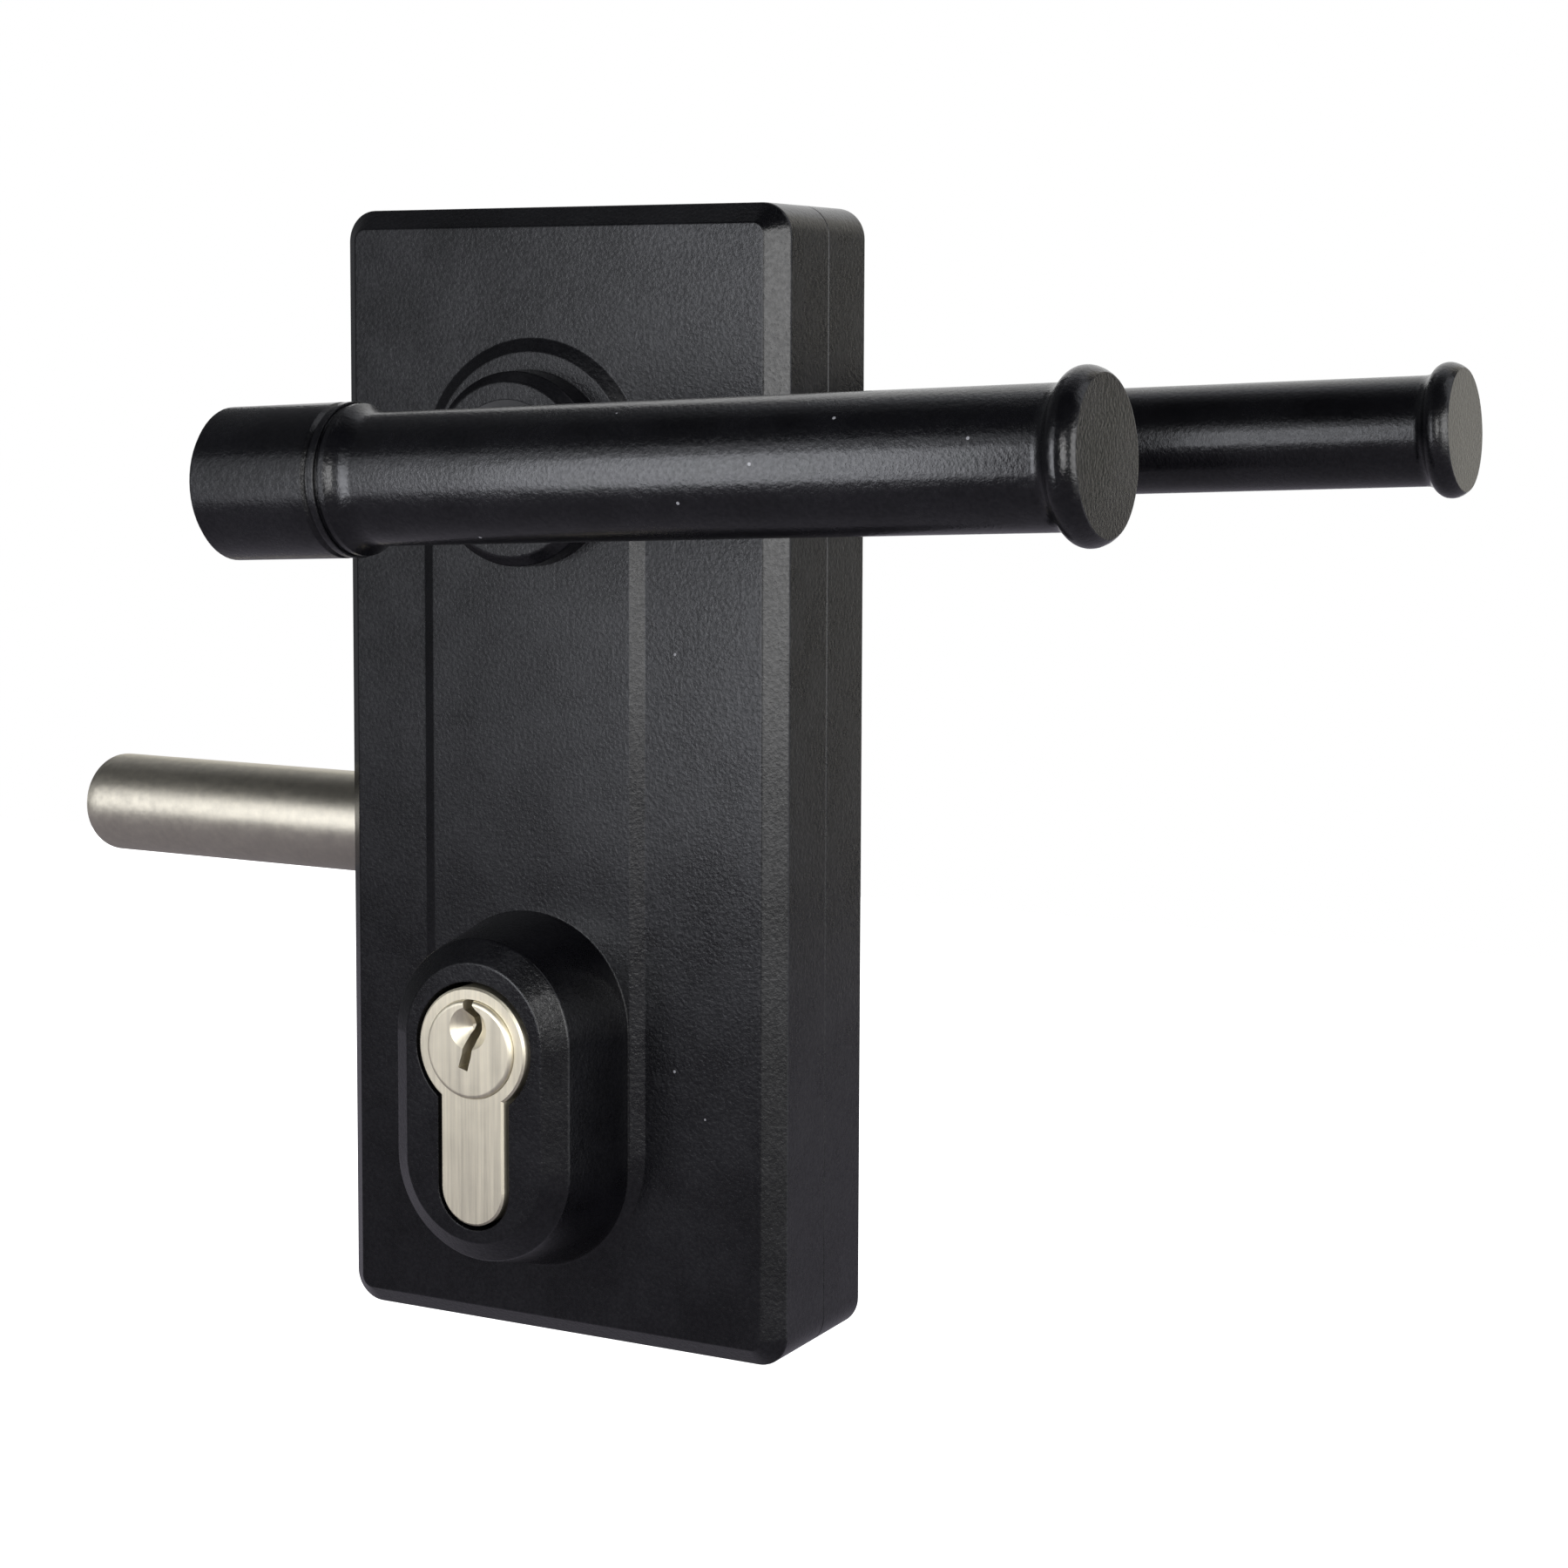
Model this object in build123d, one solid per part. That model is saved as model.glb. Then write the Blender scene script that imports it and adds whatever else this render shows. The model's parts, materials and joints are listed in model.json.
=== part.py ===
from build123d import *
from math import cos, radians, sin, sqrt
import os

# Gate lock with a round latch bolt, lever handles on both sides and a profile cylinder.
# Frame: origin at the centre of the stile face, +X from the stile towards the lever ends,
# -Y to the front, +Z up. All sizes are in millimetres.

# Case
case_width = 70.8
case_height = 158.0
case_depth = 27.6
case_wall = 3.0
case_chamfer = 2.75
case_corner = 4.3
edge_round = 0.4
seam_bevel = 0.12
axis_inset = 32.2
cylinder_from_bottom = 43.9
bolt_above_cylinder = 24.6
spindle_above_cylinder = 78.3

# Raised band on each face
band_half_width = 17.9
band_bevel = 1.95
band_height = 0.95

# Rosette round each lever neck
rosette_radius = 13.6
rosette_height = 6.6
rosette_bevel = 1.65
rosette_draft = 0.25

# Guard round each end of the cylinder
guard_base_radius = 15.9
guard_rim_radius = 13.85
guard_face_radius = 10.8
guard_height = 15.8
guard_rim_height = 13.5
guard_top_above_axis = 0.9
guard_centres = 17.0
guard_base_centres = 18.8

# Levers
lever_standoff = 55.5
lever_reach = 107.0
lever_rest_tilt = 2.7
bar_radius = 8.1
hub_radius = 9.5
hub_half_length = 8.4
hub_end_bevel = 0.55
collar_groove_width = 0.5
collar_groove_depth = 0.5
collar_bead_width = 0.85
collar_lip_width = 0.7
collar_lip_drop = 0.25
collar_foot_length = 3.0
rim_radius = 9.9
rim_length = 4.2
rim_face_radius = 9.0
rim_swell_length = 1.3
neck_radius = 7.4
neck_inner_gap = 0.6
grub_radius = 2.5
grub_from_rosette = 4.5
grub_socket = 1.3
grub_below_surface = 0.5

# Spindle and follower
spindle_side = 8.0
spindle_fit = 0.06
spindle_socket = 24.0
spindle_end_gap = 1.0
handle_angle = 45.0
follower_radius = 9.5
follower_journal = 8.0
journal_length = 2.6
follower_arm = 14.5
follower_nose = 3.0
follower_arm_width = 4.0

# Rocker between the follower and the bolt
rocker_drop = 31.0
rocker_ratio = 0.80
rocker_pin_radius = 3.0
rocker_hub_radius = 6.0
rocker_arm_width = 7.0
rocker_prong = 2.4
fork_gap = 0.35
pivot_boss_floor = 1.0
lever_plate = 4.0
layer_gap = 0.6
drive_pin_radius = 2.5
drive_boss_radius = 4.6

# Latch bolt and its carriage
bolt_radius = 7.4
bolt_reach = 54.6
bolt_nose_radius = 4.0
bolt_tail = 16.0
sleeve_wall = 2.0
sleeve_length = 14.0
sleeve_flange = 2.5
sleeve_flange_radius = 11.5
carriage_plate = 4.0
carriage_height = 11.0
carriage_end = 47.4
carriage_slot_depth = 10.0
drive_gap = 0.25
ear_width = 2.5
ear_half_height = 3.0
ear_stud = 2.5
cross_pin_radius = 1.5
cross_pin_inset = 1.0
stop_width = 4.0
stop_drop = 2.0
notch_height = 5.1
notch_gap = 0.5

# Springs
bolt_spring_radius = 2.3
bolt_spring_wire = 0.7
bolt_spring_turns = 12
bolt_spring_offset = 5.6
spring_guide_radius = 1.3
spring_guide_length = 14.0
spring_seat = 5.0
spring_seat_half_height = 4.0
handle_spring_radius = 11.3
handle_spring_wire = 1.6
handle_spring_turns = 2.5
handle_spring_pitch = 1.9

# Profile cylinder
cylinder_length = 60.0
cylinder_radius = 8.5
cylinder_leg = 10.0
cylinder_height = 33.0
cylinder_bevel = 0.3
plug_radius = 6.8
plug_proud = 0.8
plug_bevel = 0.6
chamber_from_leg_end = 8.0
key_pin_lengths = [3.4, 2.6, 3.0, 2.2, 2.8]
driver_pin_length = 3.2
cam_radius = 8.0
cam_width = 7.6
cam_reach = 15.3
cam_nose = 2.8
cam_slot = 10.2
key_angle = 120.0
plug_nose_radius = 4.5
clip_radius = 7.6
clip_thickness = 1.0
clip_mouth = 3.0
key_guide_radius = 2.95
key_guide_inner_radius = 0.4
key_guide_lift = 2.95
key_guide_depth = 1.8
keyway_width = 1.5
keyway_bottom = 2.7
keyway_bends = [(0.0, 5.8), (1.1, 4.7), (1.0, 3.1), (0.3, 1.7), (-0.1, 0.3), (-0.3, -0.8)]
keyway_top_offset = -0.2
keyway_bottom_offset = -0.85
keyway_depth = 22.0
pin_radius = 1.4
pin_pitch = 4.0
pin_count = 5
first_pin = 6.0
cylinder_screw_radius = 2.5
cylinder_screw_head = 4.6
cylinder_screw_past = 4.0
screw_from_leg_end = 5.3
screw_slot = 1.1

# Deadlock slide driven by the cam
slide_plate = 3.8
slide_travel = 7.0
slide_spine = 7.0
slide_lower_arm = 3.5
slide_arm = 3.0
slide_play = 0.4
guide_rib = 2.5
guide_pad_inset = 1.0

# Fasteners
case_screw_radius = 2.0
case_screw_head = 3.9
case_screw_boss = 4.2
case_screw_inset = 10.0
case_screw_from_end = 7.0
case_screw_grip = 8.0
case_screw_socket = 1.45
socket_depth = 1.5
fixing_from_end = 16.5
fixing_hole_radius = 2.5
fixing_clearance_radius = 3.3
fixing_nut = (8.0, 14.0, 10.0)
rib_thickness = 1.5

# Clearances
running_gap = 0.06
seat_gap = 0.02
loose_gap = 0.4
face_gap = 0.2
pin_end_gap = 0.25
screw_gap = 0.3
cylinder_gap = 0.7

# How far a cut runs past the face that it opens, and how flat an edge across Y lies
past = 1.0
flat_edge = 0.01

# Derived places
half_depth = case_depth / 2
half_height = case_height / 2
inner_face = half_depth - case_wall
cylinder_z = cylinder_from_bottom - half_height
bolt_z = cylinder_z + bolt_above_cylinder
spindle_z = cylinder_z + spindle_above_cylinder
rocker_z = spindle_z - rocker_drop
guard_top_z = cylinder_z + guard_top_above_axis
guard_bottom_z = guard_top_z - guard_centres
rosette_face = half_depth + rosette_height
guard_face = half_depth + guard_height
bar_y = half_depth + lever_standoff
follower_half_turn = handle_angle / 2
rocker_half_turn = rocker_ratio * follower_half_turn
rocker_lower_arm = 2 * (rocker_z - bolt_z) / (1 + cos(radians(rocker_half_turn)))
bolt_travel = 2 * rocker_lower_arm * sin(radians(rocker_half_turn))
drive_pin_x = axis_inset - rocker_lower_arm * sin(radians(rocker_half_turn))
drive_pin_high = rocker_z - rocker_lower_arm * cos(radians(rocker_half_turn))
drive_pin_low = rocker_z - rocker_lower_arm
layer_low = carriage_plate / 2 + layer_gap
layer_high = layer_low + lever_plate
sleeve_radius = bolt_radius + sleeve_wall
leg_end_z = cylinder_z + cylinder_radius - cylinder_height
cylinder_screw_z = leg_end_z + screw_from_leg_end
cam_arm = cam_reach - cam_nose
cam_rest_angle = -key_angle / 2
notch_half = cam_nose + cam_arm * sin(radians(-cam_rest_angle)) - slide_travel / 2 + slide_play
notch_centre = cylinder_z - slide_travel / 2
spine_x = axis_inset + cam_reach + slide_play
slide_arm_x = axis_inset + cylinder_leg / 2 + loose_gap
slide_arm_top = notch_centre + notch_half + slide_arm
stop_bottom = bolt_z - carriage_height / 2 - stop_drop
slide_top = stop_bottom - loose_gap
ear_start = drive_pin_x + drive_pin_radius + 2 * loose_gap
spring_seat_x = case_width - case_wall - spring_seat
case_screw_places = [
    (x, z)
    for x in (case_screw_inset, case_width - case_screw_inset)
    for z in (half_height - case_screw_from_end, case_screw_from_end - half_height)
]
fixing_places = [half_height - fixing_from_end, fixing_from_end - half_height]


def block(x0, x1, y0, y1, z0, z1):
    centre = Pos((x0 + x1) / 2, (y0 + y1) / 2, (z0 + z1) / 2)
    return centre * Box(x1 - x0, y1 - y0, z1 - z0)


def rod_y(x, z, radius, y0, y1):
    return Pos(x, (y0 + y1) / 2, z) * Rot(90, 0, 0) * Cylinder(radius, y1 - y0)


def rod_x(y, z, radius, x0, x1):
    return Pos((x0 + x1) / 2, y, z) * Rot(0, 90, 0) * Cylinder(radius, x1 - x0)


def plate(sketch, y0, y1):
    """Extrudes a sketch of the XZ plane from y0 to y1."""
    return extrude(Plane.XZ.offset(-y1) * sketch, amount=y1 - y0)


def turned_about_y(shape, x, z, degrees):
    return Pos(x, 0, z) * Rot(0, degrees, 0) * Pos(-x, 0, -z) * shape


def obround(radius, centres):
    """A slot that stands upright, with its upper centre at the origin."""
    straight = Pos(0, -centres / 2) * Rectangle(2 * radius, centres)
    return straight + Circle(radius) + Pos(0, -centres) * Circle(radius)


def tapered_obround(z, foot, top, centres, y0, y1):
    """A boss on the front. Foot and top are radii, centres the spans between their arcs."""
    lower = Plane.XZ.offset(y0) * Pos(axis_inset, z) * obround(foot, centres[0])
    upper = Plane.XZ.offset(y1) * Pos(axis_inset, z) * obround(top, centres[1])
    return loft([lower.face(), upper.face()], ruled=True)


def ring_profile(points):
    return make_face(Polyline(*points, close=True))


def cylinder_profile(grow):
    """Round head and leg of the profile cylinder, grown by a clearance."""
    leg_half = cylinder_leg / 2 + grow
    leg_length = cylinder_height - cylinder_radius - cylinder_leg / 2
    leg = Pos(0, -leg_length / 2) * Rectangle(2 * leg_half, leg_length)
    return Circle(cylinder_radius + grow) + leg + Pos(0, -leg_length) * Circle(leg_half)


def bevelled_case():
    outline = Plane.XZ.offset(-half_depth) * Pos(case_width / 2, 0) * RectangleRounded(
        case_width, case_height, case_corner
    )
    solid = extrude(outline, amount=case_depth)
    ends = solid.faces().filter_by(Axis.Y)
    return softened(chamfer(ends.edges(), case_chamfer), case_depth)


def softened(solid, foot_y):
    """Rounds the edges that lie in a plane across Y, in front of the foot."""
    across = [edge for edge in solid.edges() if edge.bounding_box().size.Y < flat_edge]
    return fillet([edge for edge in across if edge.center().Y < foot_y - flat_edge], edge_round)


def front_face_relief():
    """Band, rosette and cylinder guard that stand on the front face."""
    band_centres = spindle_z - guard_bottom_z
    relief = tapered_obround(
        spindle_z,
        band_half_width,
        band_half_width - band_bevel,
        (band_centres, band_centres),
        half_depth,
        half_depth + band_height,
    )
    rosette = ring_profile(
        [
            (0, inner_face),
            (rosette_radius, inner_face),
            (rosette_radius - rosette_draft, rosette_face - rosette_bevel),
            (rosette_radius - rosette_bevel, rosette_face),
            (0, rosette_face),
        ]
    )
    rosette = Pos(axis_inset, 0, spindle_z) * Rot(180, 0, 0) * revolve(rosette, Axis.Y)
    relief += softened(rosette, -half_depth)
    rim_y = half_depth + guard_rim_height
    guard = tapered_obround(
        guard_top_z,
        guard_base_radius,
        guard_rim_radius,
        (guard_base_centres, guard_centres),
        half_depth,
        rim_y,
    )
    guard += tapered_obround(
        guard_top_z,
        guard_rim_radius,
        guard_face_radius,
        (guard_centres, guard_centres),
        rim_y,
        guard_face,
    )
    return relief + softened(guard, -half_depth)


def inner_ribs():
    """Ribs and bosses of the front half, from its wall to the seam or to what they hold."""
    back = -inner_face
    parts = []
    for x, z in case_screw_places:
        parts.append(rod_y(x, z, case_screw_boss, back, 0))
    nut_x, nut_y, nut_z = fixing_nut
    pocket_end = case_wall + nut_x
    for z in fixing_places:
        top = z + nut_z / 2 + seat_gap
        low = z - nut_z / 2 - seat_gap
        parts.append(block(case_wall, pocket_end, back, 0, top, top + rib_thickness))
        parts.append(block(case_wall, pocket_end, back, 0, low - rib_thickness, low))
        parts.append(block(case_wall, pocket_end, back, -nut_y / 2 - seat_gap, low, top))
    collar_radius = follower_radius + rib_thickness
    collar = rod_y(axis_inset, spindle_z, collar_radius, back, back + journal_length)
    parts.append(collar)
    spine_end = spine_x + slide_spine
    rib_top = slide_arm_top
    rib_low = notch_centre - notch_half
    parts.append(
        block(
            spine_end + slide_play,
            spine_end + slide_play + guide_rib,
            back,
            0,
            rib_low,
            rib_top,
        )
    )
    pad_face = -slide_plate / 2 - running_gap
    pad_start = spine_x + guide_pad_inset
    pad_end = spine_end - guide_pad_inset
    parts.append(block(pad_start, pad_end, back, pad_face, rib_low, rib_top - slide_arm))
    return parts


def case_half():
    """The front half before the holes that differ between front and rear."""
    shell = bevelled_case() & block(0, case_width, -half_depth, 0, -half_height, half_height)
    seam_edges = shell.faces().sort_by(Axis.Y)[-1].edges()
    shell = chamfer(seam_edges, seam_bevel)
    cavity = Plane.XZ.offset(0) * Pos(case_width / 2, 0) * RectangleRounded(
        case_width - 2 * case_wall, case_height - 2 * case_wall, case_corner / 2
    )
    shell -= extrude(cavity, amount=inner_face)
    shell += front_face_relief()
    for rib in inner_ribs():
        shell += rib
    # Neck bush bore, and the follower's journal bore behind it.
    bush_radius = neck_radius + running_gap + sleeve_wall
    shell -= rod_y(axis_inset, spindle_z, bush_radius + seat_gap, -rosette_face - past, -inner_face)
    journal = follower_journal + running_gap
    journal_end = -inner_face + journal_length
    shell -= rod_y(axis_inset, spindle_z, journal, -inner_face - past, journal_end + past)
    # Cylinder hole.
    hole = Pos(axis_inset, cylinder_z) * cylinder_profile(cylinder_gap)
    shell -= plate(hole, -guard_face - past, -inner_face + past)
    # Bolt sleeve, fixing holes and cylinder screw hole, each half in this shell.
    shell -= rod_x(0, bolt_z, sleeve_radius + seat_gap, -past, case_wall + past)
    for z in fixing_places:
        shell -= rod_x(0, z, fixing_clearance_radius, -past, case_wall + past)
    pocket_end = case_wall + fixing_nut[0]
    shell -= rod_x(0, cylinder_screw_z, cylinder_screw_radius + screw_gap, -past, pocket_end + past)
    return shell - countersink_x(cylinder_screw_z)


def countersink_x(z):
    """The cone that a countersunk head needs in the stile face."""
    reach = cylinder_screw_head - cylinder_screw_radius
    cone = Cone(cylinder_screw_head + seat_gap, cylinder_screw_radius + seat_gap, reach)
    return Pos(reach / 2, 0, z) * Rot(0, 90, 0) * cone


def front_case():
    shell = case_half()
    # Pivot boss and blind screw holes.
    boss_end = -layer_low + face_gap
    floor = -inner_face + pivot_boss_floor
    shell += rod_y(axis_inset, rocker_z, rocker_hub_radius, -inner_face, boss_end)
    shell -= rod_y(axis_inset, rocker_z, rocker_pin_radius + seat_gap, floor, boss_end + past)
    for x, z in case_screw_places:
        shell -= rod_y(x, z, case_screw_radius + seat_gap, -case_screw_grip - loose_gap, past)
    # Seat of the bolt spring and its guide.
    seat = block(
        spring_seat_x,
        case_width - case_wall,
        -inner_face,
        -bolt_spring_offset + bolt_spring_radius + bolt_spring_wire / 2,
        bolt_z - spring_seat_half_height,
        bolt_z + spring_seat_half_height,
    )
    guide_hole = rod_x(
        -bolt_spring_offset,
        bolt_z,
        spring_guide_radius + seat_gap,
        spring_seat_x - past,
        case_width - case_wall,
    )
    return shell + seat - guide_hole


def rear_case():
    shell = mirror(case_half(), about=Plane.XZ)
    boss_start = layer_high + face_gap
    floor = inner_face - pivot_boss_floor
    shell += rod_y(axis_inset, rocker_z, rocker_hub_radius, boss_start, inner_face)
    shell -= rod_y(axis_inset, rocker_z, rocker_pin_radius + seat_gap, boss_start - past, floor)
    head_depth = case_screw_head - case_screw_radius
    for x, z in case_screw_places:
        shell -= rod_y(x, z, case_screw_radius + screw_gap, -past, half_depth + past)
        cone = Cone(case_screw_radius + seat_gap, case_screw_head + seat_gap, head_depth)
        shell -= Pos(x, half_depth - head_depth / 2, z) * Rot(-90, 0, 0) * cone
    return shell


def case_screws():
    """Countersunk socket screws that close the case from behind."""
    head_depth = case_screw_head - case_screw_radius
    screws = []
    for x, z in case_screw_places:
        screw = rod_y(x, z, case_screw_radius, -case_screw_grip, half_depth - head_depth)
        cone = Cone(case_screw_radius, case_screw_head, head_depth)
        screw += Pos(x, half_depth - head_depth / 2, z) * Rot(-90, 0, 0) * cone
        socket = Pos(x, z) * RegularPolygon(case_screw_socket, 6)
        screws.append(screw - plate(socket, half_depth - socket_depth, half_depth + past))
    return screws


def fixing_nuts():
    nut_x, nut_y, nut_z = fixing_nut
    nuts = []
    for z in fixing_places:
        start = case_wall + seat_gap
        nut = block(start, start + nut_x, -nut_y / 2, nut_y / 2, z - nut_z / 2, z + nut_z / 2)
        nuts.append(nut - rod_x(0, z, fixing_hole_radius, 0, case_wall + 2 * nut_x))
    return nuts


def bolt_sleeve():
    bore = bolt_radius + running_gap
    sleeve = rod_x(0, bolt_z, sleeve_radius, 0, sleeve_length)
    start = case_wall + seat_gap
    sleeve += rod_x(0, bolt_z, sleeve_flange_radius, start, start + sleeve_flange)
    flat = inner_face - seat_gap
    sleeve &= block(0, sleeve_length, -flat, flat, -half_height, half_height)
    return sleeve - rod_x(0, bolt_z, bore, -past, sleeve_length + past)


def neck_bush():
    """The front bush; the rear one is its mirror image."""
    outer = neck_radius + running_gap + sleeve_wall
    bush = rod_y(axis_inset, spindle_z, outer, -rosette_face, -inner_face - seat_gap)
    return bush - rod_y(axis_inset, spindle_z, neck_radius + running_gap, -rosette_face - past, 0)


def spindle_section(side):
    return Pos(axis_inset, spindle_z) * Rot(0, 0, lever_rest_tilt) * Rectangle(side, side)


def spindle_ends():
    return rosette_face + spindle_socket - spindle_end_gap


def spindle():
    return plate(spindle_section(spindle_side), -spindle_ends(), spindle_ends())


def follower():
    """Hub on the spindle whose arm hangs into the rocker's fork."""
    shoulder = inner_face - journal_length - face_gap
    body = rod_y(axis_inset, spindle_z, follower_radius, -shoulder, shoulder)
    body += rod_y(axis_inset, spindle_z, follower_journal, -inner_face, inner_face)
    arm = Pos(0, -follower_arm / 2) * Rectangle(follower_arm_width, follower_arm)
    arm += Pos(0, -follower_arm) * Circle(follower_nose)
    arm = Pos(axis_inset, spindle_z) * arm
    leaf = plate(arm, layer_low, layer_high)
    body += turned_about_y(leaf, axis_inset, spindle_z, -follower_half_turn)
    return body - plate(spindle_section(spindle_side + 2 * spindle_fit), -case_depth, case_depth)


def bar_profile():
    """Half section of the lever bar along its axis, from the hub to the end rim."""
    hub = hub_half_length
    end_face = hub + hub_end_bevel
    groove = hub_radius - collar_groove_depth
    bead_start = hub + collar_groove_width
    bead_end = bead_start + collar_bead_width
    lip_start = bead_end + collar_groove_width
    lip_end = lip_start + collar_lip_width
    foot_top = hub_radius - collar_lip_drop
    foot_end = lip_end + collar_foot_length
    collar = Polyline(
        (-end_face, 0),
        (-end_face, hub_radius - hub_end_bevel),
        (-hub, hub_radius),
        (hub - collar_groove_width, hub_radius),
        (hub, groove),
        (bead_start, groove),
        (bead_start, hub_radius),
        (bead_end, hub_radius),
        (bead_end, groove),
        (lip_start, groove),
        (lip_start, foot_top),
    )
    lip = Line((lip_start, foot_top), (lip_end, foot_top))
    flare = TangentArc((foot_end, bar_radius), (lip_end, foot_top), tangent=(-1, 0))
    rim_start = lever_reach - rim_length
    swell_start = rim_start - rim_swell_length
    rim_top = (rim_start + lever_reach) / 2
    shaft = Line((foot_end, bar_radius), (swell_start, bar_radius))
    turn = ((swell_start + rim_top) / 2, (bar_radius + rim_radius) / 2)
    swell = TangentArc((swell_start, bar_radius), turn, tangent=(1, 0))
    crest = TangentArc((rim_top, rim_radius), turn, tangent=(-1, 0))
    tip = TangentArc((rim_top, rim_radius), (lever_reach, rim_face_radius), tangent=(1, 0))
    close = Polyline((lever_reach, rim_face_radius), (lever_reach, 0), (-end_face, 0))
    return make_face([collar, lip, flare, shaft, swell, crest, tip, close])


def front_lever():
    """Turned bar on a round neck, with a square socket for the spindle."""
    bar = Pos(axis_inset, -bar_y, spindle_z) * revolve(bar_profile(), Axis.X)
    neck = rod_y(axis_inset, spindle_z, neck_radius, -bar_y, -inner_face - neck_inner_gap)
    lever = turned_about_y(bar + neck, axis_inset, spindle_z, -lever_rest_tilt)
    socket = spindle_section(spindle_side + 2 * spindle_fit)
    lever -= plate(socket, -rosette_face - spindle_socket, 0)
    return lever - grub_hole(-1)


def grub_place(side):
    return side * (rosette_face + grub_from_rosette)


def grub_hole(side):
    hole = Pos(axis_inset, grub_place(side), spindle_z - neck_radius / 2 - past)
    hole *= Cylinder(grub_radius + seat_gap, neck_radius + 2 * past)
    return turned_about_y(hole, axis_inset, spindle_z, -lever_rest_tilt)


def grub_screws():
    """Socket screws that clamp each lever on the spindle."""
    length = neck_radius - spindle_side / 2 - grub_below_surface
    middle = spindle_z - spindle_side / 2 - seat_gap - length / 2
    screws = []
    for side in (-1, 1):
        screw = Pos(axis_inset, grub_place(side), middle) * Cylinder(grub_radius, length)
        socket = Pos(axis_inset, grub_place(side), middle - length / 2)
        screw -= extrude(socket * RegularPolygon(grub_socket, 6), amount=socket_depth)
        screws.append(turned_about_y(screw, axis_inset, spindle_z, -lever_rest_tilt))
    return screws


def rocker():
    """Two-armed lever: its fork takes the follower's nose, its foot carries the drive pin."""
    slot_half = follower_nose + fork_gap
    near = rocker_drop - follower_arm
    far = sqrt(
        (follower_arm * sin(radians(follower_half_turn))) ** 2
        + (rocker_drop - follower_arm * cos(radians(follower_half_turn))) ** 2
    )
    width = 2 * (slot_half + rocker_prong)
    fork = Pos(0, far / 2) * Rectangle(width, far)
    slot_low = near - follower_nose - loose_gap
    slot_high = far + past
    fork -= Pos(0, (slot_low + slot_high) / 2) * Rectangle(2 * slot_half, slot_high - slot_low)
    arm = Pos(0, -rocker_lower_arm / 2) * Rectangle(rocker_arm_width, rocker_lower_arm)
    foot = Pos(0, -rocker_lower_arm) * Circle(drive_boss_radius)
    outline = Pos(axis_inset, rocker_z) * (fork + arm + foot + Circle(rocker_hub_radius))
    body = plate(outline, layer_low, layer_high)
    body += rod_y(axis_inset, rocker_z, rocker_hub_radius, -layer_low + 2 * face_gap, layer_low)
    bore = rocker_pin_radius + running_gap
    body -= rod_y(axis_inset, rocker_z, bore, -half_depth, half_depth)
    foot_z = rocker_z - rocker_lower_arm
    body -= rod_y(axis_inset, foot_z, drive_pin_radius + seat_gap, layer_low - past, layer_high + past)
    return turned_about_y(body, axis_inset, rocker_z, rocker_half_turn)


def rocker_pin():
    end = inner_face - pivot_boss_floor - running_gap
    return rod_y(axis_inset, rocker_z, rocker_pin_radius, -end, end)


def drive_pin():
    return rod_y(drive_pin_x, drive_pin_high, drive_pin_radius, -carriage_plate / 2, layer_high)


def latch_bolt():
    bolt = rod_x(0, bolt_z, bolt_radius, -bolt_reach, bolt_tail)
    nose = bolt.edges().filter_by(GeomType.CIRCLE).sort_by(Axis.X)[0]
    bolt = fillet(nose, bolt_nose_radius)
    half = carriage_plate / 2 + seat_gap
    slot = block(-carriage_slot_depth, past, -half, half, -bolt_radius - past, bolt_radius + past)
    bolt -= Pos(bolt_tail, 0, bolt_z) * slot
    return bolt - rod_y(cross_pin_x(), bolt_z, cross_pin_radius + seat_gap, -case_depth, case_depth)


def cross_pin_x():
    return bolt_tail - carriage_slot_depth / 2


def carriage_pin():
    half = bolt_radius - cross_pin_inset
    return rod_y(cross_pin_x(), bolt_z, cross_pin_radius, -half, half)


def bolt_carriage():
    """Flat tail of the bolt: slot for the drive pin, notch and stop for the deadlock."""
    half = carriage_plate / 2
    top = bolt_z + carriage_height / 2
    low = bolt_z - carriage_height / 2
    start = bolt_tail - carriage_slot_depth + seat_gap
    stop_start = carriage_end - stop_width
    body = block(start, carriage_end, -half, half, low, top)
    body += block(stop_start, carriage_end, -half, half, stop_bottom, top)
    notch_start = spine_x - bolt_travel - notch_gap
    body -= block(notch_start, stop_start, -2 * half, 2 * half, low - past, low + notch_height)
    slot_half = drive_pin_radius + drive_gap
    slot_low = drive_pin_low - drive_pin_radius - loose_gap
    slot_high = drive_pin_high + drive_pin_radius + loose_gap
    body -= block(
        drive_pin_x - slot_half, drive_pin_x + slot_half, -2 * half, 2 * half, slot_low, slot_high
    )
    ear_front = -bolt_spring_offset - bolt_spring_radius
    ear_end = ear_start + ear_width
    ear_low = bolt_z - ear_half_height
    ear_high = bolt_z + ear_half_height
    body += block(ear_start, ear_end, ear_front, 0, ear_low, ear_high)
    body += rod_x(-bolt_spring_offset, bolt_z, spring_guide_radius, ear_end, ear_end + ear_stud)
    body -= rod_y(cross_pin_x(), bolt_z, cross_pin_radius + seat_gap, -case_depth, case_depth)
    return body


def bolt_spring():
    """Compression spring from the carriage's ear to its seat in the case."""
    start = ear_start + ear_width + bolt_spring_wire / 2 + running_gap
    end = spring_seat_x - bolt_spring_wire / 2 - running_gap
    length = end - start
    path = Helix(length / bolt_spring_turns, length, bolt_spring_radius)
    wire = Plane(origin=path @ 0, z_dir=path % 0) * Circle(bolt_spring_wire / 2)
    coil = sweep(wire, path=path, is_frenet=True)
    return Pos(start, -bolt_spring_offset, bolt_z) * Rot(0, 90, 0) * coil


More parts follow.
